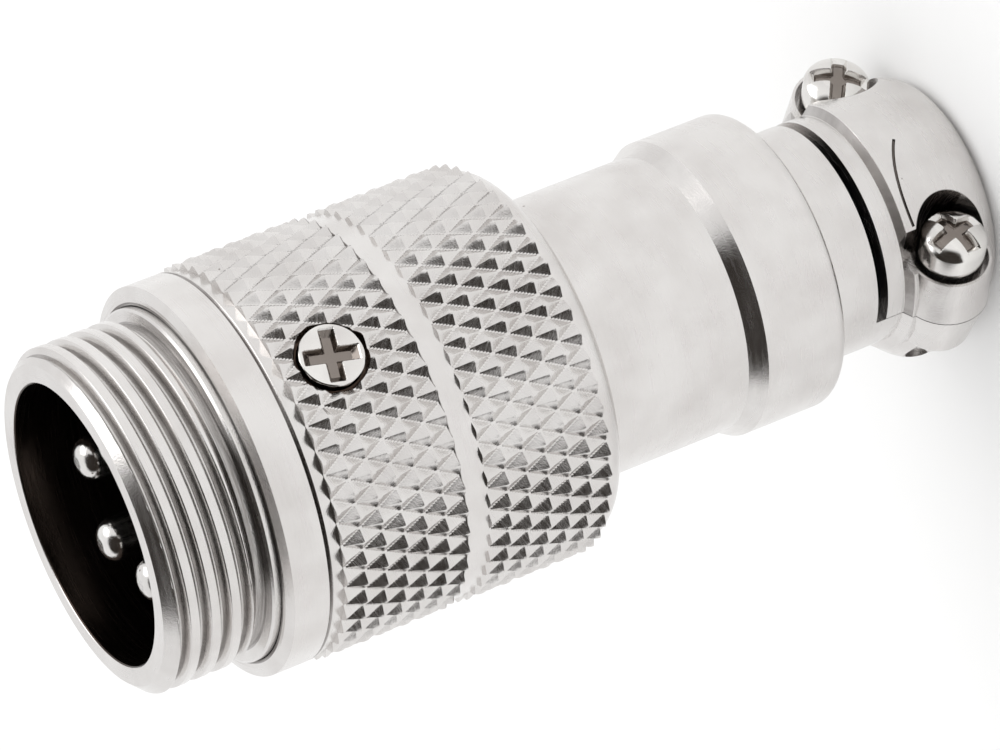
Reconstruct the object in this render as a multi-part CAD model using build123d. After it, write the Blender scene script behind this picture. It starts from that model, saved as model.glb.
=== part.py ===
from build123d import *
from math import cos, pi, radians, sin
import os

# Aviation plug connector, in-line half with five male contacts. Millimetres.
# The connector stands on its cable clamp: z = 0 is the rear end, +Z points to the mating end,
# +X points from the clamp's jaw to its saddle.

# Mating shell
thread_r = 8.0                # crest of the M16 x 1 coupling thread
thread_length = 3.65
rim_bevel = 0.55              # rounded edge between the rim and the first crest
mouth_wall = 1.45             # shell between the thread's crest and the mouth
mouth_chamfer = 0.08
mouth_depth = 8.0             # rim to the insulator's face
relief_length = 0.7           # plain neck between the thread and the shoulder
relief_depth = 0.38
relief_slope = 0.25
shoulder_length = 0.4         # step of the shell that shows in front of the sleeve
shoulder_step = 0.25          # skirt above the thread's crest
shoulder_edge = 0.1
skirt_wall = 1.1              # part of the shell that sits inside the sleeve
skirt_length = 9.6
key_height = 0.42             # polarising key in the mouth
key_width = 1.5
key_length = 6.4
key_setback = 0.35
screw_plane = -14.5           # key, first contact and set screw lie in this plane, from +X

# Insulator and contacts
insulator_clearance = 0.05
insulator_thickness = 3.8
spigot_length = 1.1           # smaller step behind the retaining ring
spigot_step = 1.6
ring_section = 0.6
ring_depth = 0.3              # how far the snap ring sits in its groove
ring_width = 1.6
ring_gap_angle = 36.0
contact_count = 5
contact_r = 1.0
contact_edge = 0.85           # contact's flange to the edge of the spigot
contact_recess = 1.45         # rim to the contact tips
contact_tip = 0.75            # height of the domed tip
contact_clearance = 0.02
contact_flange_step = 0.35
contact_flange = 0.6
cup_step = 0.15               # solder cup above the pin
cup_wall = 0.35
cup_length = 4.0
cup_bore_depth = 3.2
cup_cut_length = 2.2

# Knurled sleeve
sleeve_clearance = 0.04       # skirt in the sleeve
sleeve_wall = 0.62            # sleeve under the knurl's valleys
collar_length = 2.1
collar_drop = 0.23            # collar below the points of the knurl
collar_chamfer = 0.5
collar_mark = 0.1             # fine turned line behind the collar
land_length = 0.6             # plain step in front of the first knurl
knurl_depth = 0.42
knurl_core_gap = 0.12         # how far the plain core stays under the knurl's valleys
knurl_count = 50              # diamonds round the sleeve
knurl_half_pitch = 1.015      # along the axis, from one row of points to the next
knurl_rows = 6                # rows in each of the two bands
knurl_phase_1 = 2.2           # turn of the front band, in degrees
knurl_phase_2 = 2.2
groove_length = 1.08
groove_drop = 0.31            # groove below the points of the knurl
tail_round = 1.04             # rounded rear shoulder of the sleeve
sleeve_floor = 1.4            # sleeve behind its wide bore, up to the rear shoulder

# Set screw
set_screw_r = 1.48
set_screw_length = 1.9
set_screw_back = 5.1          # collar's front edge to the screw's axis
set_screw_sink = 0.15         # head below the knurl's points
set_mouth_step = 0.27
set_mouth_depth = 0.55
set_hole_clearance = 0.03
skirt_hole_clearance = 0.15

# Tail barrel
barrel_r = 6.58
barrel_length = 7.64          # sleeve to the step collar
barrel_wall = 0.98
step_rise = 0.48
step_chamfer_length = 0.76
step_length = 4.2
step_round = 0.5
neck_drop = 1.13              # neck below the barrel
neck_length = 2.6
neck_wall = 1.15
neck_bore_length = 4.6        # small bore in front of the clamp's slot

# Cable clamp
arch_length = 4.85            # jaw and saddle over the cable, behind the flare
arch_round = 1.2              # rounded rear edge
flare_length = 0.28           # steep step between the band and the arch
flare_rise = 0.45
band_length = 0.89            # front band of the saddle, as wide as the neck
neck_slot = 0.53
channel_r = 3.4
channel_flare = 0.4
clamp_split = 0.04            # saddle above the jaw at rest
belly_rise = 0.3              # thicker underside of the jaw
belly_offset = 1.4
belly_rear_drop = 1.5
belly_front_drop = 1.9
belly_length = 4.6
belly_middle = 2.0
ear_inset = 1.63              # screw's axis beside the cable channel
ear_z = 2.74
ear_r = 2.15                  # round ears that the screws pass, where they meet
ear_top = 2.45
ear_bottom = 2.7
ear_bottom_r = 1.6
ear_edge = 0.3
arch_inset = 0.8              # arch's side beyond the cable channel, in front of the screws
crease_r = 0.07
crease_path = [(-44, 4.4), (-28, 4.4), (-17, 4.14), (-10, 3.82), (-4, 3.42)]  # angle, height

# Clamp screws, M2 with a domed cylinder head
screw_r = 1.0
screw_clearance = 0.05
saddle_hole_clearance = 0.09
screw_head_r = 1.55
screw_head_height = 2.45
screw_dome = 0.6
head_clearance = 0.23         # counterbore round the head
counterbore_wall = 0.14
counterbore_depth = 0.65
screw_reach = 3.9             # shank below the head
recess_width = 0.56
recess_span = 2.46
recess_depth = 1.1
recess_turns = (-34.0, 12.5)
set_recess_width = 0.6
set_recess_span = 2.5
set_recess_depth = 0.9
set_recess_turn = -13.4

# Stations along the axis, from the rear end up
z_band = arch_length + flare_length
z_saddle_front = z_band + band_length
z_neck_open = z_saddle_front + neck_slot
z_step_rear = z_neck_open + neck_length
z_step_front = z_step_rear + step_length
z_barrel_rear = z_step_front + step_chamfer_length
z_sleeve_rear = z_barrel_rear + barrel_length
z_knurl_2 = z_sleeve_rear + tail_round
knurl_length = knurl_rows * knurl_half_pitch
z_groove = z_knurl_2 + knurl_length
z_knurl_1 = z_groove + groove_length
z_land = z_knurl_1 + knurl_length
z_collar = z_land + land_length
z_sleeve_front = z_collar + collar_length
z_shoulder = z_sleeve_front + shoulder_length
z_relief = z_shoulder + relief_length
z_rim = z_relief + thread_length + rim_bevel
z_skirt_rear = z_sleeve_front - skirt_length
z_sleeve_bore = z_sleeve_rear + sleeve_floor
z_neck_bore = z_neck_open + neck_bore_length
z_insulator_front = z_rim - mouth_depth
z_insulator_rear = z_insulator_front - insulator_thickness
z_spigot = z_insulator_rear - spigot_length
z_set_screw = z_sleeve_front - set_screw_back

# Radii that follow from the sizes above
mouth_r = thread_r - mouth_wall
rim_r = thread_r - rim_bevel
relief_r = thread_r - relief_depth
skirt_r = thread_r + shoulder_step
skirt_bore_r = skirt_r - skirt_wall
insulator_r = skirt_bore_r - insulator_clearance
spigot_r = insulator_r - spigot_step
contact_flange_r = contact_r + contact_flange_step
contact_circle_r = spigot_r - contact_flange_r - contact_edge
cup_r = contact_r + cup_step
sleeve_front_bore_r = skirt_r + sleeve_clearance
knurl_root_r = sleeve_front_bore_r + sleeve_wall
knurl_r = knurl_root_r + knurl_depth
collar_r = knurl_r - collar_drop
groove_r = knurl_r - groove_drop
step_r = barrel_r + step_rise
neck_r = barrel_r - neck_drop
barrel_bore_r = barrel_r - barrel_wall
neck_bore_r = neck_r - neck_wall
sleeve_bore_r = skirt_bore_r
arch_r = neck_r + flare_rise
ear_y = channel_r + ear_inset
counterbore_r = screw_head_r + head_clearance
ear_top_r = counterbore_r + counterbore_wall
seat_x = ear_top - counterbore_depth


def turned(points):
    """Solid of revolution about Z from (radius, height) points."""
    return revolve(Plane.XZ * make_face(Polyline(*points, close=True)), Axis.Z)


def tube(outer, inner, low, high):
    return turned([(inner, low), (outer, low), (outer, high), (inner, high)])


def rod(radius, low, high):
    return Pos(0, 0, low) * Cylinder(radius, high - low, align=(Align.CENTER, Align.CENTER, Align.MIN))


def radial_rod(radius, start, end, angle, z):
    """Rod lying across the axis, from one distance from the axis to another."""
    bar = Cylinder(radius, end - start, align=(Align.CENTER, Align.CENTER, Align.MIN))
    return Rot(0, 0, angle) * Pos(start, 0, z) * Rot(0, 90, 0) * bar


def cross_recess(span, width, depth):
    """Cross with sloping ends, its mouth in the plane z = 0, cut downwards."""
    above = 0.2
    slope = [(-span / 2, above), (-span / 2, -depth * 0.35), (-width * 0.45, -depth),
             (width * 0.45, -depth), (span / 2, -depth * 0.35), (span / 2, above)]
    arm = extrude(Plane.XZ * make_face(Polyline(*slope, close=True)), width / 2, both=True)
    return arm + Rot(0, 0, 90) * arm


def knurled_bar(low, phase):
    """Bar with a diamond knurl: rows of four-sided points between two flat ends."""
    step = 2 * pi / knurl_count

    def node(row, column):
        # Points and valleys alternate round each row, and from one row to the next
        is_point = (row + column) % 2 == 0
        r = knurl_r if is_point else knurl_root_r
        angle = radians(phase) + column * step / 2
        return Vector(r * cos(angle), r * sin(angle), low + row * knurl_half_pitch)

    columns = 2 * knurl_count
    faces = []
    for row in range(knurl_rows):
        for column in range(columns):
            a, b = node(row, column), node(row, column + 1)
            c, d = node(row + 1, column + 1), node(row + 1, column)
            # The cell's diagonal joins its two valleys, so the points stay four-sided
            if (row + column) % 2 == 0:
                cells = [(a, b, d), (b, c, d)]
            else:
                cells = [(a, b, c), (a, c, d)]
            faces += [Face(Wire.make_polygon(cell)) for cell in cells]
    for row in (0, knurl_rows):
        outline = [node(row, column) for column in range(columns)]
        faces.append(Face(Wire.make_polygon(outline)))
    return Solid(Shell(faces))


def make_front_shell():
    outline = [
        (mouth_r + mouth_chamfer, z_rim),
        (rim_r, z_rim),
        (thread_r - rim_bevel * 0.28, z_rim - rim_bevel * 0.4),
        (thread_r, z_rim - rim_bevel),
        (thread_r, z_relief),
        (relief_r, z_relief - relief_slope),
        (relief_r, z_shoulder + shoulder_edge),
        (relief_r + shoulder_edge, z_shoulder),
        (skirt_r - shoulder_edge, z_shoulder),
        (skirt_r, z_shoulder - shoulder_edge),
        (skirt_r, z_skirt_rear),
        (skirt_bore_r, z_skirt_rear),
        (skirt_bore_r, z_insulator_front),
        (mouth_r, z_insulator_front),
        (mouth_r, z_rim - mouth_chamfer),
    ]
    shell = turned(outline)
    groove_r_out = skirt_bore_r + ring_depth
    shell -= tube(groove_r_out, skirt_bore_r - 1, z_insulator_rear - ring_section, z_insulator_rear)
    shell -= radial_rod(set_screw_r + skirt_hole_clearance, skirt_bore_r - 0.6, skirt_r + 1,
                        screw_plane, z_set_screw)
    key = Pos(mouth_r - key_height, 0, z_rim - key_setback - key_length) * Box(
        key_height + 0.4, key_width, key_length, align=(Align.MIN, Align.CENTER, Align.MIN))
    key = fillet(key.edges().filter_by(Axis.Z).group_by(Axis.X)[0], key_height * 0.45)
    return shell + Rot(0, 0, screw_plane) * key


def contact_places():
    """Contacts on a pentagon, the first of them opposite the key."""
    places = []
    for i in range(contact_count):
        angle = radians(screw_plane + 180 + i * 360 / contact_count)
        places.append((contact_circle_r * cos(angle), contact_circle_r * sin(angle)))
    return places


def make_insulator():
    body = rod(insulator_r, z_insulator_rear, z_insulator_front)
    body = chamfer(body.edges().group_by(Axis.Z)[0], 0.15)
    body += rod(spigot_r, z_spigot, z_insulator_rear)
    for x, y in contact_places():
        hole = rod(contact_r + contact_clearance, z_spigot, z_insulator_front)
        seat = rod(contact_flange_r + contact_clearance, z_spigot, z_spigot + contact_flange)
        body -= Pos(x, y, 0) * (hole + seat)
    return body


def make_contact():
    """One contact on the axis: domed pin in front, solder cup behind."""
    tip = z_rim - contact_recess
    cup_low = z_spigot - cup_length
    flange_top = z_spigot + contact_flange
    flat_r = contact_r * 0.3
    with BuildSketch(Plane.XZ) as profile:
        with BuildLine():
            Polyline((flat_r, tip), (0, tip), (0, cup_low), (cup_r, cup_low), (cup_r, z_spigot),
                     (contact_flange_r, z_spigot), (contact_flange_r, flange_top),
                     (contact_r, flange_top), (contact_r, tip - contact_tip))
            ThreePointArc((contact_r, tip - contact_tip),
                          (contact_r * 0.8, tip - contact_tip * 0.3), (flat_r, tip))
        make_face()
    pin = revolve(profile.sketch, Axis.Z)
    pin -= rod(cup_r - cup_wall, cup_low, cup_low + cup_bore_depth)
    window = Pos(0, 0, cup_low) * Box(
        cup_r * 3, cup_r * 3, cup_cut_length, align=(Align.MIN, Align.CENTER, Align.MIN))
    return pin - window


def make_retaining_ring():
    outer = skirt_bore_r + ring_depth - insulator_clearance
    ring = tube(outer, outer - ring_width, z_insulator_rear - ring_section + 0.03, z_insulator_rear)
    half = radians(ring_gap_angle / 2)
    reach = 2 * outer
    wedge = Plane.XY.offset(z_spigot) * make_face(Polyline(
        (0, 0), (reach * cos(half), reach * sin(half)), (reach * cos(half), -reach * sin(half)),
        close=True))
    return ring - Rot(0, 0, screw_plane + 180) * extrude(wedge, spigot_length + ring_section)


def make_tail_shell():
    """Knurled sleeve, barrel, step collar, neck and lower clamp jaw in one piece."""
    core_r = knurl_root_r - knurl_core_gap
    knurl_bore_r = core_r - 0.25
    with BuildSketch(Plane.XZ) as profile:
        with BuildLine():
            Polyline((neck_bore_r, z_neck_open), (neck_r, z_neck_open), (neck_r, z_step_rear),
                     (step_r - step_round, z_step_rear))
            RadiusArc((step_r - step_round, z_step_rear), (step_r, z_step_rear + step_round), -step_round)
            Polyline((step_r, z_step_rear + step_round), (step_r, z_step_front),
                     (barrel_r, z_barrel_rear), (barrel_r, z_sleeve_rear),
                     (knurl_root_r - tail_round, z_sleeve_rear))
            RadiusArc((knurl_root_r - tail_round, z_sleeve_rear), (knurl_root_r, z_knurl_2), -tail_round)
            Polyline((knurl_root_r, z_knurl_2), (core_r, z_knurl_2), (core_r, z_groove),
                     (groove_r, z_groove), (groove_r, z_knurl_1), (core_r, z_knurl_1),
                     (core_r, z_land), (knurl_root_r, z_land),
                     (collar_r, z_collar), (collar_r - collar_mark, z_collar + collar_mark),
                     (collar_r, z_collar + 2 * collar_mark),
                     (collar_r, z_sleeve_front - collar_chamfer * 0.4),
                     (collar_r - collar_chamfer, z_sleeve_front),
                     (sleeve_front_bore_r, z_sleeve_front), (sleeve_front_bore_r, z_skirt_rear),
                     (sleeve_bore_r, z_skirt_rear), (sleeve_bore_r, z_sleeve_bore),
                     (barrel_bore_r, z_sleeve_bore), (barrel_bore_r, z_neck_bore),
                     (neck_bore_r, z_neck_bore), (neck_bore_r, z_neck_open))
        make_face()
    shell = revolve(profile.sketch, Axis.Z)
    shell += knurled_bar(z_knurl_2, knurl_phase_2) - rod(knurl_bore_r, z_knurl_2 - 1, z_groove + 1)
    shell += knurled_bar(z_knurl_1, knurl_phase_1) - rod(knurl_bore_r, z_knurl_1 - 1, z_land + 1)
    shell -= radial_rod(set_screw_r + set_hole_clearance, sleeve_bore_r - 1, knurl_r + 1,
                        screw_plane, z_set_screw)
    shell -= radial_rod(set_screw_r + set_mouth_step, knurl_r - set_mouth_depth, knurl_r + 1,
                        screw_plane, z_set_screw)
    return shell + make_jaw()


def make_set_screw():
    top = knurl_r - set_screw_sink
    screw = radial_rod(set_screw_r, top - set_screw_length, top, screw_plane, z_set_screw)
    recess = Rot(0, 0, set_recess_turn) * cross_recess(set_recess_span, set_recess_width, set_recess_depth)
    return screw - Rot(0, 0, screw_plane) * Pos(top, 0, z_set_screw) * Rot(0, 90, 0) * recess


def clamp_profile(top):
    """Outline of the jaw and the saddle: rounded arch, steep flare, narrow band."""
    with BuildSketch(Plane.XZ) as profile:
        with BuildLine():
            Polyline((0, 0), (arch_r - arch_round, 0))
            RadiusArc((arch_r - arch_round, 0), (arch_r, arch_round), -arch_round)
            Polyline((arch_r, arch_round), (arch_r, arch_length), (neck_r, z_band), (neck_r, top),
                     (0, top), (0, 0))
        make_face()
    return revolve(profile.sketch, Axis.Z)


def cable_channel(high):
    flare = [(0, 0), (channel_r + channel_flare, 0), (channel_r, channel_flare), (0, channel_flare)]
    return rod(channel_r, 0, high) + turned(flare)


def ear_rod(side, radius, low, high):
    return Pos(0, side * ear_y, 0) * radial_rod(radius, low, high, 0, ear_z)


def ear(side, end, end_r):
    """Tapered ear between the split and its outer face."""
    cone = turned([(0, 0), (ear_r, 0), (end_r, abs(end)), (0, abs(end))])
    turn = 90 if end > 0 else -90
    return Pos(0, side * ear_y, ear_z) * Rot(0, turn, 0) * cone


def make_belly():
    """Thick underside of the jaw, turned about an axis below the cable."""
    middle_r = arch_r + belly_rise
    rear_r = middle_r - belly_rear_drop
    front_r = middle_r - belly_front_drop
    with BuildSketch(Plane.XZ) as profile:
        with BuildLine():
            Polyline((front_r, belly_length), (0, belly_length), (0, 0), (rear_r, 0))
            ThreePointArc((rear_r, 0), (middle_r, belly_middle), (front_r, belly_length))
        make_face()
    return Pos(-belly_offset, 0, 0) * revolve(profile.sketch, Axis.Z)


def make_jaw():
    """Lower half of the clamp, joined to the neck."""
    jaw = clamp_profile(z_neck_open) + make_belly()
    for side in (-1, 1):
        lug = ear(side, -ear_bottom, ear_bottom_r)
        jaw += fillet(lug.edges().group_by(Axis.X)[0], ear_edge)
    jaw &= Box(40, 40, z_neck_open, align=(Align.MAX, Align.CENTER, Align.MIN))
    for side in (-1, 1):
        jaw -= ear_rod(side, screw_r + screw_clearance, -arch_r, 1)
    jaw -= rod(neck_bore_r, z_band, z_neck_open)
    return jaw - cable_channel(z_neck_open)


def make_crease():
    """Fine dark line where the arch rises out of the flare, beside the second screw."""
    points = [(arch_r * cos(radians(angle)), arch_r * sin(radians(angle)), z) for angle, z in crease_path]
    path = Spline(*points)
    return sweep(Plane(path @ 0, z_dir=path % 0) * Circle(crease_r), path)


def make_clamp_saddle():
    saddle = clamp_profile(z_saddle_front)
    for side in (-1, 1):
        beside = Pos(ear_top, side * (channel_r + arch_inset), ear_z) * Box(
            20, 20, z_band - ear_z, align=(Align.MIN, Align.MAX if side < 0 else Align.MIN, Align.MIN))
        saddle -= beside
        saddle += ear(side, ear_top, ear_top_r)
    saddle &= Pos(clamp_split, 0, 0) * Box(
        20, 30, z_saddle_front, align=(Align.MIN, Align.CENTER, Align.MIN))
    for side in (-1, 1):
        saddle -= ear_rod(side, screw_r + saddle_hole_clearance, -1, arch_r)
        saddle -= ear_rod(side, counterbore_r, seat_x, arch_r + 1)
    saddle -= rod(neck_bore_r, z_band, z_saddle_front)
    saddle -= make_crease()
    return saddle - cable_channel(z_saddle_front)


def make_clamp_screw(side, turn):
    rim = screw_head_height - screw_dome
    with BuildSketch(Plane.XZ) as profile:
        with BuildLine():
            Polyline((0, screw_head_height), (0, -screw_reach), (screw_r - 0.15, -screw_reach),
                     (screw_r, 0.15 - screw_reach), (screw_r, 0), (screw_head_r, 0), (screw_head_r, rim))
            ThreePointArc((screw_head_r, rim), (screw_head_r * 0.72, rim + screw_dome * 0.68),
                          (0, screw_head_height))
        make_face()
    screw = revolve(profile.sketch, Axis.Z)
    recess = Rot(0, 0, turn) * cross_recess(recess_span, recess_width, recess_depth)
    screw -= Pos(0, 0, screw_head_height) * recess
    return Pos(seat_x, side * ear_y, ear_z) * Rot(0, 90, 0) * screw


def main():
    os.makedirs("parts", exist_ok=True)
    parts = {
        "front_shell": make_front_shell(),
        "insulator": make_insulator(),
        "retaining_ring": make_retaining_ring(),
        "tail_shell": make_tail_shell(),
        "set_screw": make_set_screw(),
        "clamp_saddle": make_clamp_saddle(),
        "clamp_screw_1": make_clamp_screw(1, recess_turns[0]),
        "clamp_screw_2": make_clamp_screw(-1, recess_turns[1]),
    }
    contact = make_contact()
    for number, (x, y) in enumerate(contact_places(), start=1):
        parts[f"contact_pin_{number}"] = contact.moved(Location((x, y, 0)))
    for name, solid in parts.items():
        export_step(solid, f"parts/{name}.step")


main()
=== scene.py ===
import math

import bmesh
import bpy
from mathutils import Matrix, Vector


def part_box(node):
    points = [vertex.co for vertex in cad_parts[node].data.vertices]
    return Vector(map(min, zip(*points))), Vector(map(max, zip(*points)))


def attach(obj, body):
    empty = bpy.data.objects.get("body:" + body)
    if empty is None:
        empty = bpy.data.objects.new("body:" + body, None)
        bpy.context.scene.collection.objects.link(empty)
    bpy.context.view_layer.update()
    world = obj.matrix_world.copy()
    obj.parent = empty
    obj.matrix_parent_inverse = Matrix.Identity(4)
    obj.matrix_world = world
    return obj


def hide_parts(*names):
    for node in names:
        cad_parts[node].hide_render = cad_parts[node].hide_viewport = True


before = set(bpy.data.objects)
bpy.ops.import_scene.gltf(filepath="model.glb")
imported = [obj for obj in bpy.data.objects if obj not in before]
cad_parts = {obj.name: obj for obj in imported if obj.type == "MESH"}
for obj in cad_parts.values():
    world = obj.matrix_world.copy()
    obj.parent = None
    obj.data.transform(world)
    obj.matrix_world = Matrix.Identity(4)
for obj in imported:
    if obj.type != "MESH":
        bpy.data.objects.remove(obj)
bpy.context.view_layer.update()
print("frame loaded")

mm = 0.001
seamGap = 1e-7      # points of one piece that are nearer than this are merged

# Where the photograph was taken from, in millimetres and unit vectors
cameraSetup = {
    "lens": 230.4,
    "sensor": 36.0,
    "place": (221.975, -144.782, 129.472),
    "right": (0.090769, -0.495561, -0.863817),
    "down": (-0.621008, -0.706261, 0.339918),
    "clip": (0.01, 20),
}


def makeCamera(setup):
    data = bpy.data.cameras.new("photoCamera")
    data.lens = setup["lens"]
    data.sensor_width = setup["sensor"]
    data.clip_start, data.clip_end = setup["clip"]
    camera = bpy.data.objects.new("photoCamera", data)
    bpy.context.scene.collection.objects.link(camera)
    right = Vector(setup["right"]).normalized()
    up = -Vector(setup["down"])
    up = (up - right * up.dot(right)).normalized()
    back = right.cross(up)
    turn = Matrix((right, up, back)).transposed().to_4x4()
    camera.matrix_world = Matrix.Translation(Vector(setup["place"]) * mm) @ turn
    bpy.context.scene.camera = camera


makeCamera(cameraSetup)
bpy.context.scene.view_settings.view_transform = "Standard"


# Short forms of the nodes that the materials and the geometry trees share

def newNode(tree, kind, **settings):
    node = tree.nodes.new(kind)
    for key, value in settings.items():
        setattr(node, key, value)
    return node


def feed(tree, socket, value):
    # A number or a tuple is set on the socket, another node's output is linked to it
    if isinstance(value, bpy.types.NodeSocket):
        tree.links.new(value, socket)
    else:
        socket.default_value = value


def calcNode(tree, operation, *values):
    node = newNode(tree, "ShaderNodeMath", operation=operation)
    for place, value in enumerate(values):
        feed(tree, node.inputs[place], value)
    return node.outputs[0]


def vectorNode(tree, operation, *values):
    node = newNode(tree, "ShaderNodeVectorMath", operation=operation)
    for place, value in enumerate(values):
        feed(tree, node.inputs[place], value)
    return node.outputs["Value" if operation in ("LENGTH", "DOT_PRODUCT") else "Vector"]


def splitNode(tree, vector):
    node = newNode(tree, "ShaderNodeSeparateXYZ")
    feed(tree, node.inputs[0], vector)
    return [node.outputs[key] for key in ("X", "Y", "Z")]


def joinNode(tree, *values):
    node = newNode(tree, "ShaderNodeCombineXYZ")
    for place, value in enumerate(values):
        feed(tree, node.inputs[place], value)
    return node.outputs[0]


def rangeNode(tree, value, source, target=(0.0, 1.0), kind="LINEAR"):
    node = newNode(tree, "ShaderNodeMapRange", interpolation_type=kind)
    for key, given in zip(("Value", "From Min", "From Max", "To Min", "To Max"), (value, *source, *target)):
        feed(tree, node.inputs[key], given)
    return node.outputs["Result"]


def noiseNode(tree, vector, scale, detail=2.0, roughness=0.5):
    node = newNode(tree, "ShaderNodeTexNoise")
    for key, value in (("Vector", vector), ("Scale", scale), ("Detail", detail), ("Roughness", roughness)):
        feed(tree, node.inputs[key], value)
    return node.outputs[0]


def mixNode(tree, factor, first, second):
    node = newNode(tree, "ShaderNodeMix", data_type="RGBA")
    for key, value in (("Factor", factor), ("A", first), ("B", second)):
        feed(tree, node.inputs[key], value)
    return node.outputs["Result"]


def bumpNode(tree, height, strength, distance, normal=None):
    node = newNode(tree, "ShaderNodeBump")
    for key, value in (("Height", height), ("Strength", strength), ("Distance", distance)):
        feed(tree, node.inputs[key], value)
    if normal:
        feed(tree, node.inputs["Normal"], normal)
    return node.outputs[0]


# Light, floor and backdrop, in metres
studio = {
    "floorSize": 3.0,
    "floorDrop": 0.00002,
    "floorColor": (0.96, 0.96, 0.957, 1),
    "floorRoughness": 0.9,
    "skyColor": (1, 1, 1, 1),
    "skyLevel": 1.0,
    "darkDirection": (0.262, -0.72, 0.643),     # a dark cloth near the camera, seen only in the metal
    "darkColor": (0.022, 0.016, 0.012, 1),
    "darkSpread": (0.57, 0.75),
    "lampPower": 0.9,
    "lampSize": 0.45,
    "lampPlace": (0.25, 0.35, 0.55),
}


def makeWorld(setup):
    world = bpy.data.worlds.new("studioWorld")
    world.use_nodes = True
    bpy.context.scene.world = world
    tree = world.node_tree
    tree.nodes.clear()
    where = newNode(tree, "ShaderNodeTexCoord")
    path = newNode(tree, "ShaderNodeLightPath")
    towards = vectorNode(tree, "DOT_PRODUCT", where.outputs["Generated"],
                         Vector(setup["darkDirection"]).normalized())
    lobe = rangeNode(tree, towards, setup["darkSpread"], kind="SMOOTHSTEP")
    both = newNode(tree, "ShaderNodeMixShader")
    feed(tree, both.inputs[0], calcNode(tree, "MULTIPLY", lobe, path.outputs["Is Glossy Ray"]))
    for place, (color, level) in enumerate(((setup["skyColor"], setup["skyLevel"]), (setup["darkColor"], 1.0)), 1):
        background = newNode(tree, "ShaderNodeBackground")
        background.inputs["Color"].default_value = color
        background.inputs["Strength"].default_value = level
        feed(tree, both.inputs[place], background.outputs[0])
    output = newNode(tree, "ShaderNodeOutputWorld")
    feed(tree, output.inputs["Surface"], both.outputs[0])


def makeFloor(setup):
    half = setup["floorSize"] / 2
    mesh = bpy.data.meshes.new("floor")
    mesh.from_pydata([(-half, -half, 0), (half, -half, 0), (half, half, 0), (-half, half, 0)],
                     [], [(0, 1, 2, 3)])
    floor = bpy.data.objects.new("floor", mesh)
    bpy.context.scene.collection.objects.link(floor)
    material = bpy.data.materials.new("paleFloor")
    material.use_nodes = True
    shader = material.node_tree.nodes["Principled BSDF"]
    shader.inputs["Base Color"].default_value = setup["floorColor"]
    shader.inputs["Roughness"].default_value = setup["floorRoughness"]
    shader.inputs["Specular IOR Level"].default_value = 0.0
    mesh.materials.append(material)
    floor.location.z = -setup["floorDrop"]


def makeLamp(setup):
    data = bpy.data.lights.new("softLamp", "AREA")
    data.energy = setup["lampPower"]
    data.size = setup["lampSize"]
    lamp = bpy.data.objects.new("softLamp", data)
    bpy.context.scene.collection.objects.link(lamp)
    place = Vector(setup["lampPlace"])
    lamp.matrix_world = Matrix.Translation(place) @ place.to_track_quat("Z", "Y").to_matrix().to_4x4()


makeWorld(studio)
makeFloor(studio)
makeLamp(studio)
print("camera, light and floor made")

# Nickel plating: turning marks round the part, fine grain, faint clouding and a few pits
nickelFinish = {
    "color": (0.725, 0.706, 0.692, 1),
    "shade": (0.63, 0.605, 0.59, 1),
    "pitColor": (0.16, 0.13, 0.11, 1),
    "shadow": (0.045, 0.031, 0.024, 1),     # colour of the painted shade
    "roughness": (0.17, 0.30),
    "lineScale": 9000.0,
    "lineSlope": 0.6,       # share of the radius in the distance along the profile
    "lineWander": 2.4,      # how often a mark fades on its way round
    "lineNoise": (0.3, 0.7),
    "lineBump": 0.05,
    "lineDepth": 0.00003,
    "grainScale": 14000.0,
    "grainBump": 0.3,
    "grainDepth": 0.00002,
    "cloudScale": 420.0,
    "cloudNoise": (0.35, 0.75),
    "pitScale": 900.0,
    "pitEdge": (0.03, 0.06),
    "pitLevel": 0.16,
    "shadeMottleNoise": (0.36, 0.58),
    "shadeMottle": (0.55, 1.0),    # painted shade is thinner and thicker by these shares
    "solidPaintedShade": 0.96,     # from this strength on the painted shade is even
}


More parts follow.
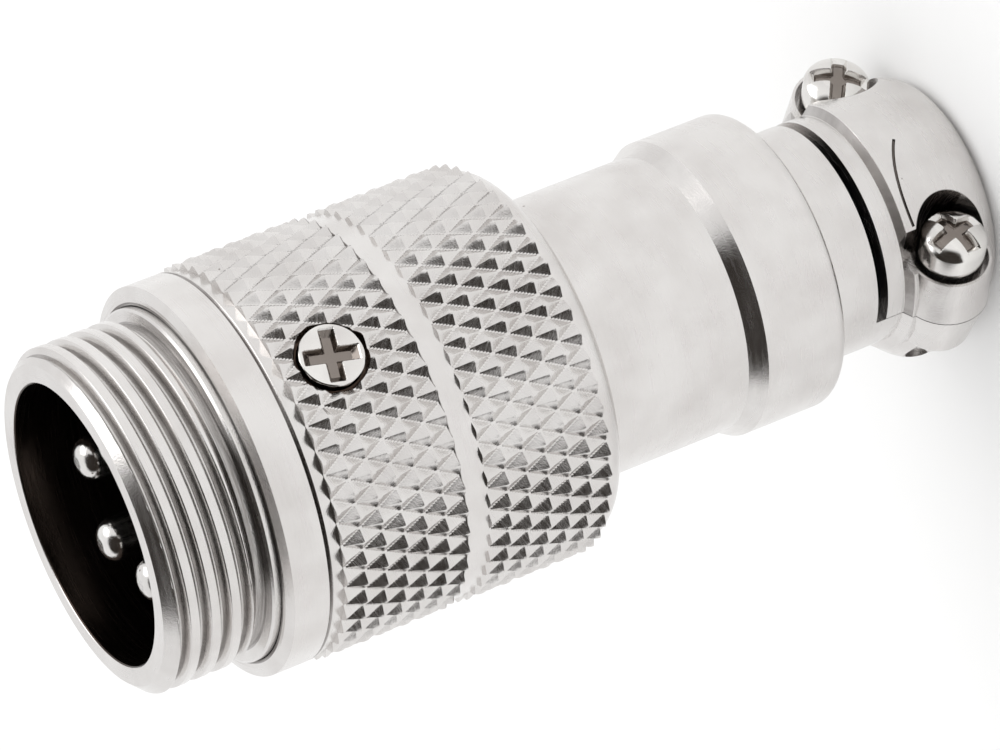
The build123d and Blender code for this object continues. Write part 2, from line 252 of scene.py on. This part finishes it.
def makeNickel(name, finish, axis="Z", center=(0, 0, 0), shadows=(), recess=None, holes=()):
    # Shadows are rings of painted shade: lowest and highest radius, lowest and highest height in mm, strength
    material = bpy.data.materials.new(name)
    material.use_nodes = True
    tree = material.node_tree
    shader = tree.nodes["Principled BSDF"]
    shader.inputs["Metallic"].default_value = 1.0

    def calc(operation, *values):
        return calcNode(tree, operation, *values)

    def between(value, low, high):
        return calc("MULTIPLY", calc("GREATER_THAN", value, low * mm), calc("LESS_THAN", value, high * mm))

    where = newNode(tree, "ShaderNodeTexCoord").outputs["Object"]
    x, y, z = splitNode(tree, vectorNode(tree, "SUBTRACT", where, center))
    across, up, length = {"Z": (x, y, z), "X": (y, z, x)}[axis]
    flat = joinNode(tree, across, up)
    radius = vectorNode(tree, "LENGTH", flat)
    ringX, ringY, unused = splitNode(tree, vectorNode(tree, "NORMALIZE", flat))
    # Distance along the turned profile, so that the marks run round the part
    along = calc("MULTIPLY_ADD", radius, finish["lineSlope"], length)
    lines = joinNode(tree, calc("MULTIPLY", along, finish["lineScale"]),
                     calc("MULTIPLY", ringX, finish["lineWander"]), calc("MULTIPLY", ringY, finish["lineWander"]))
    turning = noiseNode(tree, lines, 1.0, 3.0, 0.6)
    grain = noiseNode(tree, where, finish["grainScale"])
    clouds = noiseNode(tree, where, finish["cloudScale"], 4.0)
    color = mixNode(tree, rangeNode(tree, clouds, finish["cloudNoise"]), finish["color"], finish["shade"])
    # A pit sits in the middle of some of the cells
    cells = newNode(tree, "ShaderNodeTexVoronoi")
    cells.inputs["Scale"].default_value = finish["pitScale"]
    feed(tree, cells.inputs["Vector"], where)
    pick = newNode(tree, "ShaderNodeSeparateColor")
    feed(tree, pick.inputs[0], cells.outputs["Color"])
    pits = calc("MULTIPLY", rangeNode(tree, cells.outputs["Distance"], finish["pitEdge"], (1.0, 0.0)),
                calc("GREATER_THAN", pick.outputs[0], 1.0 - finish["pitLevel"]))
    color = mixNode(tree, pits, color, finish["pitColor"])
    # Painted shade: the masks below darken the colour, made uneven along the turning marks
    shadeMottle = rangeNode(tree, turning, finish["shadeMottleNoise"], finish["shadeMottle"])
    paintedShades = []
    for lowR, highR, lowZ, highZ, strength in shadows:
        ring = calc("MULTIPLY", between(radius, lowR, highR), between(length, lowZ, highZ))
        ring = calc("MULTIPLY", ring, strength)
        paintedShades.append(ring if strength >= finish["solidPaintedShade"] else calc("MULTIPLY", ring, shadeMottle))
    if recess:
        # Painted shade below the screw's domed face, along its own axis
        depth = vectorNode(tree, "DOT_PRODUCT", where, recess["direction"])
        depth = calc("MULTIPLY_ADD", calc("MULTIPLY", radius, radius), recess["dome"], depth)
        mask = calc("LESS_THAN", depth, recess["face"] * mm)
        if recess["within"]:
            mask = calc("MULTIPLY", mask, calc("LESS_THAN", radius, recess["within"] * mm))
        paintedShades.append(calc("MULTIPLY", mask, recess["strength"]))
    # Painted shade in holes, gaps and creases round a given axis
    for hole in holes:
        aside = vectorNode(tree, "SUBTRACT", where, Vector(hole["place"]) * mm)
        away = vectorNode(tree, "LENGTH", vectorNode(tree, "CROSS_PRODUCT", aside, hole["direction"]))
        facing = vectorNode(tree, "DOT_PRODUCT", aside, hole["direction"])
        mask = calc("MULTIPLY", calc("LESS_THAN", away, hole["radius"] * mm), calc("GREATER_THAN", facing, 0.0))
        if "within" in hole:
            mask = calc("MULTIPLY", mask, calc("LESS_THAN", radius, hole["within"] * mm))
            mask = calc("MULTIPLY", mask, calc("LESS_THAN", length, hole["below"] * mm))
        paintedShades.append(calc("MULTIPLY", mask, hole["strength"]))
    if paintedShades:
        dark = paintedShades[0]
        for paintedShade in paintedShades[1:]:
            dark = calc("MAXIMUM", dark, paintedShade)
        color = mixNode(tree, dark, color, finish["shadow"])
    feed(tree, shader.inputs["Base Color"], color)
    feed(tree, shader.inputs["Roughness"], rangeNode(tree, turning, finish["lineNoise"], finish["roughness"]))
    marks = bumpNode(tree, turning, finish["lineBump"], finish["lineDepth"])
    feed(tree, shader.inputs["Normal"], bumpNode(tree, grain, finish["grainBump"], finish["grainDepth"], marks))
    return material


def makePlastic(name, finish):
    material = bpy.data.materials.new(name)
    material.use_nodes = True
    tree = material.node_tree
    shader = tree.nodes["Principled BSDF"]
    where = newNode(tree, "ShaderNodeTexCoord").outputs["Object"]
    speckle = noiseNode(tree, where, finish["speckleScale"], 3.0)
    color = mixNode(tree, rangeNode(tree, speckle, finish["speckleNoise"]), finish["color"], finish["dust"])
    feed(tree, shader.inputs["Base Color"], color)
    shader.inputs["Roughness"].default_value = finish["roughness"]
    feed(tree, shader.inputs["Normal"], bumpNode(tree, speckle, finish["bump"], finish["depth"]))
    return material


def giveFinish(nodeName, material):
    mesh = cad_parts[nodeName].data
    mesh.materials.clear()
    mesh.materials.append(material)


# The plane of the key and the set screw, and the painted shade in the gap round that screw
screwTurn = math.radians(-14.5)
screwDirection = (math.cos(screwTurn), math.sin(screwTurn), 0)
setScrewHole = {"place": (0, 0, 33.65), "direction": screwDirection, "radius": 1.68, "strength": 1.0}

# Painted shade in the joint lines behind the shoulder and at the knurl's end
sleeveShadows = [(8.2, 8.42, 38.6, 38.8, 0.9), (8.5, 9.07, 36.68, 36.78, 0.7), (8.8, 9.2, 29.93, 29.99, 0.7)]
shellNickel = makeNickel("shellNickel", nickelFinish, shadows=sleeveShadows, holes=(setScrewHole,))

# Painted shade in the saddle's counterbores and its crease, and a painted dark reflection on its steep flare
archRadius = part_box("clamp_saddle")[1].x / mm
creaseTurn = math.radians(-24)
saddleShadows = [(5.3, archRadius - 0.03, 4.87, 5.12, 0.5)]
saddleHoles = [
    {"place": (1.5, 5.03, 2.74), "direction": (1, 0, 0), "radius": 1.8, "strength": 0.42},
    {"place": (1.5, -5.03, 2.74), "direction": (1, 0, 0), "radius": 1.8, "strength": 0.42},
    {"place": (0, 0, 3.95), "direction": (math.cos(creaseTurn), math.sin(creaseTurn), 0), "radius": 2.75,
     "within": archRadius - 0.02, "below": 4.8, "strength": 0.9},
]
giveFinish("clamp_saddle", makeNickel("saddleNickel", nickelFinish, shadows=saddleShadows, holes=saddleHoles))

pinFinish = dict(nickelFinish, color=(0.8, 0.79, 0.77, 1), roughness=(0.1, 0.2), lineBump=0.02)
for number in range(1, 6):
    low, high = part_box("contact_pin_%d" % number)
    middle = ((low.x + high.x) / 2, (low.y + high.y) / 2, 0)
    giveFinish("contact_pin_%d" % number, makeNickel("contactPlating_%d" % number, pinFinish, "Z", middle))

springFinish = dict(nickelFinish, color=(0.5, 0.49, 0.47, 1), roughness=(0.25, 0.4))
giveFinish("retaining_ring", makeNickel("springSteel", springFinish))

insulatorFinish = {
    "color": (0.012, 0.011, 0.01, 1),
    "dust": (0.05, 0.045, 0.04, 1),
    "roughness": 0.5,
    "speckleScale": 3000.0,
    "speckleNoise": (0.45, 0.8),
    "bump": 0.2,
    "depth": 0.00003,
}
giveFinish("insulator", makePlastic("blackInsulator", insulatorFinish))
print("finishes made")


# Geometry trees: each bends one grid round the Z axis, with its sizes in millimetres as named inputs

def startTree(name, sizes, counts):
    tree = bpy.data.node_groups.new(name, "GeometryNodeTree")
    face = tree.interface
    face.new_socket("Geometry", in_out="OUTPUT", socket_type="NodeSocketGeometry")
    for size in sizes:
        face.new_socket(size, in_out="INPUT", socket_type="NodeSocketFloat")
    for count in counts:
        face.new_socket(count, in_out="INPUT", socket_type="NodeSocketInt")
    given = newNode(tree, "NodeGroupInput")
    grid = newNode(tree, "GeometryNodeMeshGrid")
    grid.inputs["Size X"].default_value = 2 * math.pi
    grid.inputs["Size Y"].default_value = 1.0
    for count, side in zip(counts, ("Vertices X", "Vertices Y")):
        feed(tree, grid.inputs[side], calcNode(tree, "ADD", given.outputs[count], 1))
    place = newNode(tree, "GeometryNodeInputPosition")
    angle, share, unused = splitNode(tree, place.outputs[0])
    share = calcNode(tree, "ADD", share, 0.5)
    return tree, {size: given.outputs[size] for size in sizes}, grid.outputs["Mesh"], angle, share


def endTree(tree, mesh, angle, radius, height, material):
    meters = calcNode(tree, "MULTIPLY", radius, mm)
    bend = newNode(tree, "GeometryNodeSetPosition")
    feed(tree, bend.inputs["Geometry"], mesh)
    feed(tree, bend.inputs["Position"], joinNode(
        tree, calcNode(tree, "MULTIPLY", meters, calcNode(tree, "COSINE", angle)),
        calcNode(tree, "MULTIPLY", meters, calcNode(tree, "SINE", angle)), calcNode(tree, "MULTIPLY", height, mm)))
    seam = newNode(tree, "GeometryNodeMergeByDistance")
    seam.inputs["Distance"].default_value = seamGap
    feed(tree, seam.inputs["Geometry"], bend.outputs[0])
    real = newNode(tree, "GeometryNodeRealizeInstances")
    feed(tree, real.inputs[0], seam.outputs[0])
    finish = newNode(tree, "GeometryNodeSetMaterial")
    finish.inputs["Material"].default_value = material
    feed(tree, finish.inputs["Geometry"], real.outputs[0])
    feed(tree, newNode(tree, "NodeGroupOutput").inputs[0], finish.outputs[0])
    return tree


def runTree(name, tree, values):
    holder = bpy.data.objects.new(name, bpy.data.meshes.new(name))
    bpy.context.scene.collection.objects.link(holder)
    modifier = holder.modifiers.new("nodes", "NODES")
    modifier.node_group = tree
    for item in tree.interface.items_tree:
        if item.in_out == "INPUT":
            modifier[item.identifier] = values[item.name]
    mesh = evaluatedMesh(holder)
    holder.modifiers.clear()
    bpy.data.objects.remove(holder)
    return mesh


def evaluatedMesh(piece):
    bpy.context.view_layer.update()
    view = bpy.context.evaluated_depsgraph_get()
    return bpy.data.meshes.new_from_object(piece.evaluated_get(view), depsgraph=view)


def makePiece(name, work, material):
    mesh = bpy.data.meshes.new(name)
    work.to_mesh(mesh)
    work.free()
    piece = bpy.data.objects.new(name, mesh)
    bpy.context.scene.collection.objects.link(piece)
    mesh.materials.clear()
    mesh.materials.append(material)
    return piece


def addLathe(work, profile, segments):
    rings = []
    for radius, height in profile:
        ring = []
        for step in range(segments):
            angle = -math.pi + 2 * math.pi * step / segments
            ring.append(work.verts.new((radius * mm * math.cos(angle), radius * mm * math.sin(angle), height * mm)))
        rings.append(ring)
    for below, above in zip(rings, rings[1:]):
        for step in range(segments):
            after = (step + 1) % segments
            work.faces.new((below[step], below[after], above[after], above[step]))


holeSegments = 64


def cutHole(target, radius, height, start, end):
    # Round hole along the set screw, from one distance off the axis to another
    work = bmesh.new()
    bmesh.ops.create_cone(work, cap_ends=True, segments=holeSegments, radius1=radius * mm, radius2=radius * mm,
                          depth=(end - start) * mm)
    turn = Matrix.Rotation(screwTurn, 4, "Z") @ Matrix.Translation(((start + end) / 2 * mm, 0, height * mm))
    bmesh.ops.transform(work, matrix=turn @ Matrix.Rotation(math.pi / 2, 4, "Y"), verts=work.verts)
    mesh = bpy.data.meshes.new("cutter")
    work.to_mesh(mesh)
    work.free()
    cutter = bpy.data.objects.new("cutter", mesh)
    bpy.context.scene.collection.objects.link(cutter)
    modifier = target.modifiers.new("hole", "BOOLEAN")
    modifier.operation = "DIFFERENCE"
    modifier.solver = "EXACT"
    modifier.object = cutter
    cut = evaluatedMesh(target)
    target.modifiers.clear()
    target.data = cut
    bpy.data.objects.remove(cutter)


def shadeByAngle(piece, degrees):
    work = bmesh.new()
    work.from_mesh(piece.data)
    limit = math.radians(degrees)
    for edge in work.edges:
        edge.smooth = len(edge.link_faces) == 2 and edge.calc_face_angle(0) < limit
    for face in work.faces:
        face.smooth = True
    work.to_mesh(piece.data)
    work.free()


# Front shell with its real thread, in millimetres
threadedShell = {
    "crest": 8.0, "root": 7.5, "pitch": 1.0, "phase": 0.0, "flankStart": 0.08, "flankEnd": 0.62,
    "low": 39.2, "high": 44.05, "reliefTop": 39.72, "relief": 7.6, "runOutLow": 0.12, "runOutHigh": 0.3,
    "rim": 7.45, "bevelSlope": 1.0, "segments": 200, "rows": 190,
    "mouth": 6.55, "mouthEdge": 0.08, "ledge": 36.05, "shoulder": 39.15, "skirt": 8.25, "skirtEdge": 0.1,
    "skirtBore": 7.15, "skirtEnd": 29.15, "ringTop": 32.25, "ringLow": 31.65, "ringGroove": 7.45,
    "reliefFoot": 0.12, "keyWidth": 1.5, "keyHeight": 0.42, "keyTop": 43.7, "keyLength": 6.4, "keyRoot": 0.3,
    "keyRound": 0.45, "keyCorner": 0.3, "holeRadius": 1.63, "holeStart": 6.4, "holeEnd": 9.0, "shadeAngle": 40,
}
# Painted shade on the flanks, in the grooves and in the relief, and inside the black mouth
threadShadows = [(7.55, 7.72, 39.75, 43.62, 0.5), (7.0, 7.55, 39.7, 43.9, 0.25),
                 (7.5, 7.68, 39.14, 39.6, 0.6), (0.0, 6.6, 30.0, 44.02, 0.98)]


def threadTree(material):
    sizes = ("crest", "root", "pitch", "phase", "flankStart", "flankEnd", "low", "high", "reliefTop", "relief",
             "runOutLow", "runOutHigh", "rim", "bevelSlope")
    tree, size, mesh, angle, share = startTree("screwThread", sizes, ("segments", "rows"))

    def calc(operation, *values):
        return calcNode(tree, operation, *values)

    height = calc("MULTIPLY_ADD", share, calc("SUBTRACT", size["high"], size["low"]), size["low"])
    # Where the point is within one turn: 1 on the crest, 0 in the root
    turns = calc("SUBTRACT", calc("DIVIDE", height, size["pitch"]), calc("DIVIDE", angle, 2 * math.pi))
    wave = calc("ABSOLUTE", calc("MULTIPLY_ADD", calc("FRACT", calc("ADD", turns, size["phase"])), 2, -1))
    flank = rangeNode(tree, wave, (size["flankStart"], size["flankEnd"]), (size["root"], size["crest"]),
                      "SMOOTHSTEP")
    # The thread runs out into the plain relief
    runOut = rangeNode(tree, height, (calc("SUBTRACT", size["reliefTop"], size["runOutLow"]),
                                      calc("ADD", size["reliefTop"], size["runOutHigh"])), kind="SMOOTHSTEP")
    radius = calc("MULTIPLY_ADD", calc("SUBTRACT", flank, size["relief"]), runOut, size["relief"])
    bevel = calc("MULTIPLY_ADD", calc("SUBTRACT", size["high"], height), size["bevelSlope"], size["rim"])
    return endTree(tree, mesh, angle, calc("MINIMUM", radius, bevel), height, material)


def addKey(work, setup):
    # Polarising key in the mouth, with rounded inner edges
    half, top = setup["keyWidth"] / 2, setup["mouth"] - setup["keyHeight"]
    base = setup["mouth"] + setup["keyRoot"]
    bend = setup["keyHeight"] * setup["keyRound"]
    corner = bend * setup["keyCorner"]
    outline = [(base, -half), (top + bend, -half), (top + corner, corner - half), (top, bend - half),
               (top, half - bend), (top + corner, half - corner), (top + bend, half), (base, half)]
    turn = Matrix.Rotation(screwTurn, 3, "Z")
    rings = [[work.verts.new(turn @ Vector((x, y, height)) * mm) for x, y in outline]
             for height in (setup["keyTop"] - setup["keyLength"], setup["keyTop"])]
    faces = [work.faces.new(rings[1]), work.faces.new(list(reversed(rings[0])))]
    for i in range(len(outline)):
        j = (i + 1) % len(outline)
        faces.append(work.faces.new((rings[0][i], rings[0][j], rings[1][j], rings[1][i])))
    bmesh.ops.recalc_face_normals(work, faces=faces)


def makeFrontShell(setup, material):
    work = bmesh.new()
    work.from_mesh(runTree("threadStrip", threadTree(material), setup))
    # Rim, mouth, ledge, bore with the ring's groove, skirt and shoulder, down to the thread's lower end
    profile = [
        (setup["rim"], setup["high"]), (setup["mouth"] + setup["mouthEdge"], setup["high"]),
        (setup["mouth"], setup["high"] - setup["mouthEdge"]), (setup["mouth"], setup["ledge"]),
        (setup["skirtBore"], setup["ledge"]), (setup["skirtBore"], setup["ringTop"]),
        (setup["ringGroove"], setup["ringTop"]), (setup["ringGroove"], setup["ringLow"]),
        (setup["skirtBore"], setup["ringLow"]), (setup["skirtBore"], setup["skirtEnd"]),
        (setup["skirt"], setup["skirtEnd"]), (setup["skirt"], setup["shoulder"] - setup["skirtEdge"]),
        (setup["skirt"] - setup["skirtEdge"], setup["shoulder"]),
        (setup["relief"] + setup["reliefFoot"], setup["shoulder"]), (setup["relief"], setup["low"])]
    addLathe(work, profile, setup["segments"])
    bmesh.ops.remove_doubles(work, verts=work.verts, dist=seamGap)
    bmesh.ops.recalc_face_normals(work, faces=work.faces)
    shell = makePiece("threadedShell", work, material)
    cutHole(shell, setup["holeRadius"], setScrewHole["place"][2], setup["holeStart"], setup["holeEnd"])
    work = bmesh.new()
    work.from_mesh(shell.data)
    addKey(work, setup)
    work.to_mesh(shell.data)
    work.free()
    shadeByAngle(shell, setup["shadeAngle"])
    return shell


frontShell = makeFrontShell(threadedShell, makeNickel("threadNickel", nickelFinish, shadows=threadShadows))
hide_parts("front_shell")
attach(frontShell, "connector")
print("threaded shell made")

# Knurled sleeve: two bands of flat-topped diamonds over the plain body of the tail shell, in millimetres
knurl = {
    "count": 50.0, "halfPitch": 1.015, "length": 6.09, "root": 8.91, "depth": 0.42, "flat": 0.86,
    "flatRound": 0.05, "valley": 0.04, "wear": 0.035, "wearScale": 9.0, "wearStretch": 0.11,
    "columns": 800, "rows": 48, "inner": 8.6,
    "bands": ((22.79, 2.2), (29.96, 2.2)),      # lower end and start angle of each band
    "pressed": 8.8, "outer": 9.15, "inset": 0.01, "margin": 0.02,
    "holeRadius": 1.64, "holeStart": 8.0, "holeEnd": 10.0, "shadeAngle": 18,
}


def knurlTree(material):
    sizes = ("count", "halfPitch", "length", "root", "depth", "flat", "flatRound", "valley", "phase", "low",
             "wear", "wearScale", "wearStretch")
    tree, size, mesh, angle, share = startTree("diamondKnurl", sizes, ("columns", "rows"))

    def calc(operation, *values):
        return calcNode(tree, operation, *values)

    along = calc("MULTIPLY", share, size["length"])
    around = calc("MULTIPLY", calc("SUBTRACT", angle, size["phase"]), calc("DIVIDE", size["count"], 2 * math.pi))
    rise = calc("DIVIDE", along, calc("MULTIPLY", size["halfPitch"], 2))
    # Two crossing sets of grooves: 1 midway between grooves, 0 in them
    first = calc("ABSOLUTE", calc("MULTIPLY_ADD", calc("FRACT", calc("ADD", around, rise)), 2, -1))
    second = calc("ABSOLUTE", calc("MULTIPLY_ADD", calc("FRACT", calc("SUBTRACT", around, rise)), 2, -1))
    height = calc("SMOOTH_MIN", calc("MINIMUM", first, second), size["flat"], size["flatRound"])
    height = calc("MAXIMUM", height, size["valley"])
    radius = calc("MULTIPLY_ADD", height, size["depth"], size["root"])
    ring = joinNode(tree, calc("COSINE", angle), calc("SINE", angle), calc("MULTIPLY", along, size["wearStretch"]))
    worn = noiseNode(tree, ring, size["wearScale"], 1.0)
    loss = calc("MULTIPLY", calc("MULTIPLY", worn, size["wear"]), height)
    return endTree(tree, mesh, angle, calc("SUBTRACT", radius, loss), calc("ADD", along, size["low"]), material)


def makeKnurlBand(name, setup, tree, low, phase, material):
    work = bmesh.new()
    work.from_mesh(runTree(name, tree, dict(setup, low=low, phase=math.radians(phase))))
    # Flat ends and a plain inner wall close the band
    edges = [edge for edge in work.edges if len(edge.link_faces) == 1]
    grown = bmesh.ops.extrude_edge_only(work, edges=edges)["geom"]
    for vert in (item for item in grown if isinstance(item, bmesh.types.BMVert)):
        flat = Vector((vert.co.x, vert.co.y, 0)).normalized() * setup["inner"] * mm
        vert.co.x, vert.co.y = flat.x, flat.y
    inner = [item for item in grown if isinstance(item, bmesh.types.BMEdge) and len(item.link_faces) == 1]
    bmesh.ops.bridge_loops(work, edges=inner)
    bmesh.ops.recalc_face_normals(work, faces=work.faces)
    return makePiece(name, work, material)


def makeTailBody(setup, material):
    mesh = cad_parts["tail_shell"].data.copy()
    mesh.name = "tailBody"
    mesh.materials.clear()
    mesh.materials.append(material)
    body = bpy.data.objects.new("tailBody", mesh)
    bpy.context.scene.collection.objects.link(body)
    # The plain body stays just under the valleys of the knurl, and its end faces stop at their roots
    half = setup["length"] / 2
    for vert in mesh.vertices:
        height, radius = vert.co.z / mm, math.hypot(vert.co.x, vert.co.y) / mm
        for low, phase in setup["bands"]:
            offset = abs(height - low - half)
            if offset < half - setup["inset"] and radius > setup["pressed"]:
                vert.co.x *= setup["pressed"] / radius
                vert.co.y *= setup["pressed"] / radius
            elif offset < half + setup["margin"] and radius > setup["outer"]:
                vert.co.x *= setup["root"] / radius
                vert.co.y *= setup["root"] / radius
    return body


tailBody = makeTailBody(knurl, shellNickel)
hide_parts("tail_shell")
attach(tailBody, "connector")
bandTree = knurlTree(shellNickel)
for number, (low, phase) in enumerate(knurl["bands"], 1):
    band = makeKnurlBand("knurlBand_%d" % number, knurl, bandTree, low, phase, shellNickel)
    if number == 2:
        cutHole(band, knurl["holeRadius"], setScrewHole["place"][2], knurl["holeStart"], knurl["holeEnd"])
    shadeByAngle(band, knurl["shadeAngle"])
    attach(band, "connector")
print("knurl made")

# Screws: a turned blank whose face is a grid bent round and pressed with a cross, in millimetres
screwFace = {"segments": 240, "rows": 56, "wall": 0.16, "end": 0.36, "domePower": 3.4, "edge": 0.07,
             "crossRound": 0.12, "chamfer": 0.15, "shadeAngle": 35}
clampScrew = dict(screwFace, radius=1.55, shank=1.0, rim=1.85, dome=0.6, length=3.9, width=0.74, span=2.7, depth=0.4)
screws = {
    "set_screw": dict(screwFace, body="connector", radius=1.48, shank=1.48, rim=0.0, dome=0.0, length=1.9,
                      width=0.74, span=2.6, depth=0.36, turn=-13.4),
    "clamp_screw_1": dict(clampScrew, body="screw_1", turn=-34.0, axis=(0, 0.00503, 0.00274)),
    "clamp_screw_2": dict(clampScrew, body="screw_2", turn=12.5, axis=(0, -0.00503, 0.00274)),
}
# Polished heads, with brown painted shade in the cross
screwFinish = dict(nickelFinish, color=(0.8, 0.785, 0.76, 1), roughness=(0.12, 0.22), grainBump=0.06,
                   shadow=(0.15, 0.12, 0.1, 1))
headRecess = {"direction": (1, 0, 0), "face": 4.1, "dome": 250.0, "within": 1.3, "strength": 0.85}
setRecess = {"direction": screwDirection, "face": 9.1, "dome": 0.0, "within": None, "strength": 0.85}


def crossTree(material):
    sizes = ("radius", "rim", "dome", "domePower", "width", "span", "depth", "wall", "end", "edge",
             "crossRound", "turn")
    tree, size, mesh, angle, share = startTree("crossRecess", sizes, ("segments", "rows"))

    def calc(operation, *values):
        return calcNode(tree, operation, *values)

    share = calc("MAXIMUM", share, 0.0)
    radius = calc("MULTIPLY", share, size["radius"])
    turned = calc("SUBTRACT", angle, size["turn"])
    across = calc("ABSOLUTE", calc("MULTIPLY", radius, calc("COSINE", turned)))
    up = calc("ABSOLUTE", calc("MULTIPLY", radius, calc("SINE", turned)))
    # 1 on the floor of the cross, 0 outside it, with sloping walls and ends
    narrow = calc("SMOOTH_MIN", across, up, size["crossRound"])
    side = calc("DIVIDE", calc("SUBTRACT", calc("MULTIPLY", size["width"], 0.5), narrow), size["wall"])
    wide = calc("MAXIMUM", across, up)
    tip = calc("DIVIDE", calc("SUBTRACT", calc("MULTIPLY", size["span"], 0.5), wide), size["end"])
    pressed = calc("MINIMUM", calc("MAXIMUM", calc("MINIMUM", side, tip), 0.0), 1.0)
    # Dome, and a small rounded edge at the rim
    dome = calc("MULTIPLY", calc("SUBTRACT", 1.0, calc("POWER", share, size["domePower"])), size["dome"])
    over = calc("MAXIMUM", calc("SUBTRACT", radius, calc("SUBTRACT", size["radius"], size["edge"])), 0.0)
    fall = calc("DIVIDE", calc("MULTIPLY", over, over), size["edge"])
    height = calc("SUBTRACT", calc("ADD", size["rim"], dome), fall)
    height = calc("SUBTRACT", height, calc("MULTIPLY", pressed, size["depth"]))
    return endTree(tree, mesh, angle, radius, height, material)


def screwPlace(name, setup):
    # From the screw's own axis and seat to its place in the connector
    if "axis" in setup:
        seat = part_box(name)[1].x - (setup["rim"] + setup["dome"]) * mm
        return Matrix.Translation((seat, setup["axis"][1], setup["axis"][2]))
    along = Vector(screwDirection)
    top = max(vert.co.dot(along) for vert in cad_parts[name].data.vertices)
    return Matrix.Rotation(screwTurn, 4, "Z") @ Matrix.Translation((top, 0, setScrewHole["place"][2] * mm))


def makeScrew(name, setup, material):
    work = bmesh.new()
    work.from_mesh(runTree(name + "Face", crossTree(material), dict(setup, turn=math.radians(setup["turn"]))))
    bottom = -setup["length"]
    profile = [(setup["radius"], setup["rim"] - setup["edge"])]
    if setup["rim"]:
        profile += [(setup["radius"], 0.0), (setup["shank"], 0.0)]
    profile += [(setup["shank"], bottom + setup["chamfer"]), (setup["shank"] - setup["chamfer"], bottom)]
    addLathe(work, profile, setup["segments"])
    bmesh.ops.remove_doubles(work, verts=work.verts, dist=seamGap)
    bmesh.ops.contextual_create(work, geom=[edge for edge in work.edges if len(edge.link_faces) == 1])
    bmesh.ops.recalc_face_normals(work, faces=work.faces)
    place = screwPlace(name, setup) @ Matrix.Rotation(math.pi / 2, 4, "Y")
    bmesh.ops.transform(work, matrix=place, verts=work.verts)
    screw = makePiece(name + "Shown", work, material)
    shadeByAngle(screw, setup["shadeAngle"])
    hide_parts(name)
    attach(screw, setup["body"])


for name, setup in screws.items():
    if "axis" in setup:
        material = makeNickel("screwNickel_" + name[-1], screwFinish, "X", setup["axis"], recess=headRecess)
    else:
        material = makeNickel("setScrewNickel", screwFinish, recess=setRecess)
    makeScrew(name, setup, material)
print("screws made")
